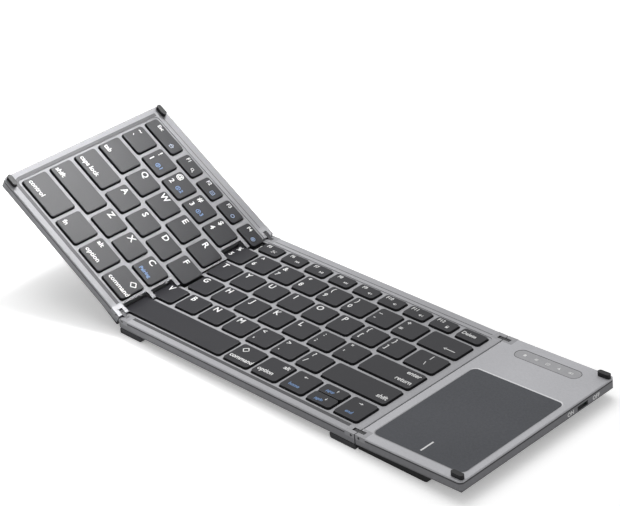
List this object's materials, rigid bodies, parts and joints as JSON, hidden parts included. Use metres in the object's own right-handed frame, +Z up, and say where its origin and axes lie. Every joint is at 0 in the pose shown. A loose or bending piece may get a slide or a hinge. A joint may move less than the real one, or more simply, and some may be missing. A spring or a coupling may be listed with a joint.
{
  "type": "folding keyboard",
  "caption": "Flat folding keyboard: middle section and left key leaf on two-pivot hinges, right leaf with touchpad, power switch and indicator window.",
  "frame": {"origin": "middle of the resting object on the table, under the middle of its overall length", "axes": "+X along the board from the left leaf to the right leaf, +Y from front to back, +Z up"},
  "size_m": [0.3086, 0.1072, 0.0623],
  "materials": {
    "deck": "brushed anodised plate",
    "case": "fine matt moulding",
    "keys": "matt key caps with pale legends",
    "black": "matt black moulding",
    "rubber": "soft black rubber",
    "steel": "satin steel",
    "pad": "satin touch surface",
    "board": "green circuit board",
    "window": "smoked window",
    "cell": "pouch cell",
    "ribbon": "amber flexible ribbon"
  },
  "bodies": {
    "middle": {"middle_deck": "deck", "middle_case": "case", "middle_key_plate": "steel", "middle_domes": "rubber", "main_board": "board", "middle_brackets": "steel", "middle_feet": "black", "middle_screws": "steel"},
    "left_link": {"left_links": "steel", "left_pins": "steel", "left_ribbon": "ribbon"},
    "left_leaf": {"left_deck": "deck", "left_case": "case", "left_key_plate": "steel", "left_domes": "rubber", "left_brackets": "steel", "left_bumpers": "rubber", "left_wedge": "black", "left_screws": "steel"},
    "right_link": {"right_links": "steel", "right_pins": "steel", "right_ribbon": "ribbon"},
    "right_leaf": {"right_deck": "deck", "right_case": "case", "battery_cover": "black", "battery": "cell", "right_board": "board", "charge_socket": "steel", "led_window": "window", "right_brackets": "steel", "right_bumpers": "rubber", "right_screws": "steel"},
    "pad": {"touchpad": "pad", "touchpad_board": "board"},
    "switch": {"switch_knob": "black"},
    "f_keys_left_key": {"f_keys_left": "keys"},
    "number_keys_left_key": {"number_keys_left": "keys"},
    "tab_key": {"tab": "keys"},
    "q_row_left_key": {"q_row_left": "keys"},
    "caps_lock_key": {"caps_lock": "keys"},
    "a_row_left_key": {"a_row_left": "keys"},
    "shift_left_key": {"shift_left": "keys"},
    "z_row_left_key": {"z_row_left": "keys"},
    "modifier_keys_left_key": {"modifier_keys_left": "keys"},
    "f_keys_middle_key": {"f_keys_middle": "keys"},
    "delete_key": {"delete": "keys"},
    "number_keys_middle_key": {"number_keys_middle": "keys"},
    "backspace_key": {"backspace": "keys"},
    "t_row_key": {"t_row": "keys"},
    "g_row_key": {"g_row": "keys"},
    "enter_key": {"enter": "keys"},
    "v_row_key": {"v_row": "keys"},
    "shift_right_key": {"shift_right": "keys"},
    "space_key": {"space": "keys"},
    "modifier_keys_right_key": {"modifier_keys_right": "keys"},
    "arrow_left_key": {"arrow_left": "keys"},
    "arrow_up_key": {"arrow_up": "keys"},
    "arrow_down_key": {"arrow_down": "keys"},
    "arrow_right_key": {"arrow_right": "keys"}
  },
  "joints": [
    {"name": "left_link_hinge", "type": "hinge", "parent": "middle", "child": "left_link", "pos_m": [-0.06819, 0, 0.007], "axis": [0, 1, 0], "range_deg": [-30.1, 57.9]},
    {"name": "left_leaf_hinge", "type": "hinge", "parent": "left_link", "child": "left_leaf", "pos_m": [-0.07226, 0, 0.00955], "axis": [0, 1, 0], "range_deg": [0, 90]},
    {"name": "right_link_hinge", "type": "hinge", "parent": "middle", "child": "right_link", "pos_m": [0.08861, 0, 0.007], "axis": [0, -1, 0], "range_deg": [0, 88]},
    {"name": "right_leaf_hinge", "type": "hinge", "parent": "right_link", "child": "right_leaf", "pos_m": [0.0934, 0, 0.00717], "axis": [0, -1, 0], "range_deg": [0, 90]},
    {"name": "touchpad_click", "type": "hinge", "parent": "right_leaf", "child": "pad", "pos_m": [0.12346, 0.02125, 0.00757], "axis": [0.9994, 0, 0.0349], "range_deg": [0, 0.24], "stiffness_Nm_per_rad": 10, "springref_deg": -0.11},
    {"name": "power_switch", "type": "slide", "parent": "right_leaf", "child": "switch", "axis": [0, 1, 0], "range_m": [0, 0.003]},
    {"name": "f_keys_left_press", "type": "slide", "parent": "left_leaf", "child": "f_keys_left_key", "axis": [-0.5314, 0, -0.8471], "range_m": [0, 0.0012], "stiffness_N_per_m": 500, "springref_m": -0.0006},
    {"name": "number_keys_left_press", "type": "slide", "parent": "left_leaf", "child": "number_keys_left_key", "axis": [-0.5314, 0, -0.8471], "range_m": [0, 0.0012], "stiffness_N_per_m": 500, "springref_m": -0.0006},
    {"name": "tab_press", "type": "slide", "parent": "left_leaf", "child": "tab_key", "axis": [-0.5314, 0, -0.8471], "range_m": [0, 0.0012], "stiffness_N_per_m": 500, "springref_m": -0.0006},
    {"name": "q_row_left_press", "type": "slide", "parent": "left_leaf", "child": "q_row_left_key", "axis": [-0.5314, 0, -0.8471], "range_m": [0, 0.0012], "stiffness_N_per_m": 500, "springref_m": -0.0006},
    {"name": "caps_lock_press", "type": "slide", "parent": "left_leaf", "child": "caps_lock_key", "axis": [-0.5314, 0, -0.8471], "range_m": [0, 0.0012], "stiffness_N_per_m": 500, "springref_m": -0.0006},
    {"name": "a_row_left_press", "type": "slide", "parent": "left_leaf", "child": "a_row_left_key", "axis": [-0.5314, 0, -0.8471], "range_m": [0, 0.0012], "stiffness_N_per_m": 500, "springref_m": -0.0006},
    {"name": "shift_left_press", "type": "slide", "parent": "left_leaf", "child": "shift_left_key", "axis": [-0.5314, 0, -0.8471], "range_m": [0, 0.0012], "stiffness_N_per_m": 500, "springref_m": -0.0006},
    {"name": "z_row_left_press", "type": "slide", "parent": "left_leaf", "child": "z_row_left_key", "axis": [-0.5314, 0, -0.8471], "range_m": [0, 0.0012], "stiffness_N_per_m": 500, "springref_m": -0.0006},
    {"name": "modifier_keys_left_press", "type": "slide", "parent": "left_leaf", "child": "modifier_keys_left_key", "axis": [-0.5314, 0, -0.8471], "range_m": [0, 0.0012], "stiffness_N_per_m": 500, "springref_m": -0.0006},
    {"name": "f_keys_middle_press", "type": "slide", "parent": "middle", "child": "f_keys_middle_key", "axis": [0, 0, -1], "range_m": [0, 0.0012], "stiffness_N_per_m": 500, "springref_m": -0.0006},
    {"name": "delete_press", "type": "slide", "parent": "middle", "child": "delete_key", "axis": [0, 0, -1], "range_m": [0, 0.0012], "stiffness_N_per_m": 500, "springref_m": -0.0006},
    {"name": "number_keys_middle_press", "type": "slide", "parent": "middle", "child": "number_keys_middle_key", "axis": [0, 0, -1], "range_m": [0, 0.0012], "stiffness_N_per_m": 500, "springref_m": -0.0006},
    {"name": "backspace_press", "type": "slide", "parent": "middle", "child": "backspace_key", "axis": [0, 0, -1], "range_m": [0, 0.0012], "stiffness_N_per_m": 500, "springref_m": -0.0006},
    {"name": "t_row_press", "type": "slide", "parent": "middle", "child": "t_row_key", "axis": [0, 0, -1], "range_m": [0, 0.0012], "stiffness_N_per_m": 500, "springref_m": -0.0006},
    {"name": "g_row_press", "type": "slide", "parent": "middle", "child": "g_row_key", "axis": [0, 0, -1], "range_m": [0, 0.0012], "stiffness_N_per_m": 500, "springref_m": -0.0006},
    {"name": "enter_press", "type": "slide", "parent": "middle", "child": "enter_key", "axis": [0, 0, -1], "range_m": [0, 0.0012], "stiffness_N_per_m": 500, "springref_m": -0.0006},
    {"name": "v_row_press", "type": "slide", "parent": "middle", "child": "v_row_key", "axis": [0, 0, -1], "range_m": [0, 0.0012], "stiffness_N_per_m": 500, "springref_m": -0.0006},
    {"name": "shift_right_press", "type": "slide", "parent": "middle", "child": "shift_right_key", "axis": [0, 0, -1], "range_m": [0, 0.0012], "stiffness_N_per_m": 500, "springref_m": -0.0006},
    {"name": "space_press", "type": "slide", "parent": "middle", "child": "space_key", "axis": [0, 0, -1], "range_m": [0, 0.0012], "stiffness_N_per_m": 500, "springref_m": -0.0006},
    {"name": "modifier_keys_right_press", "type": "slide", "parent": "middle", "child": "modifier_keys_right_key", "axis": [0, 0, -1], "range_m": [0, 0.0012], "stiffness_N_per_m": 500, "springref_m": -0.0006},
    {"name": "arrow_left_press", "type": "slide", "parent": "middle", "child": "arrow_left_key", "axis": [0, 0, -1], "range_m": [0, 0.0012], "stiffness_N_per_m": 500, "springref_m": -0.0006},
    {"name": "arrow_up_press", "type": "slide", "parent": "middle", "child": "arrow_up_key", "axis": [0, 0, -1], "range_m": [0, 0.0012], "stiffness_N_per_m": 500, "springref_m": -0.0006},
    {"name": "arrow_down_press", "type": "slide", "parent": "middle", "child": "arrow_down_key", "axis": [0, 0, -1], "range_m": [0, 0.0012], "stiffness_N_per_m": 500, "springref_m": -0.0006},
    {"name": "arrow_right_press", "type": "slide", "parent": "middle", "child": "arrow_right_key", "axis": [0, 0, -1], "range_m": [0, 0.0012], "stiffness_N_per_m": 500, "springref_m": -0.0006}
  ]
}
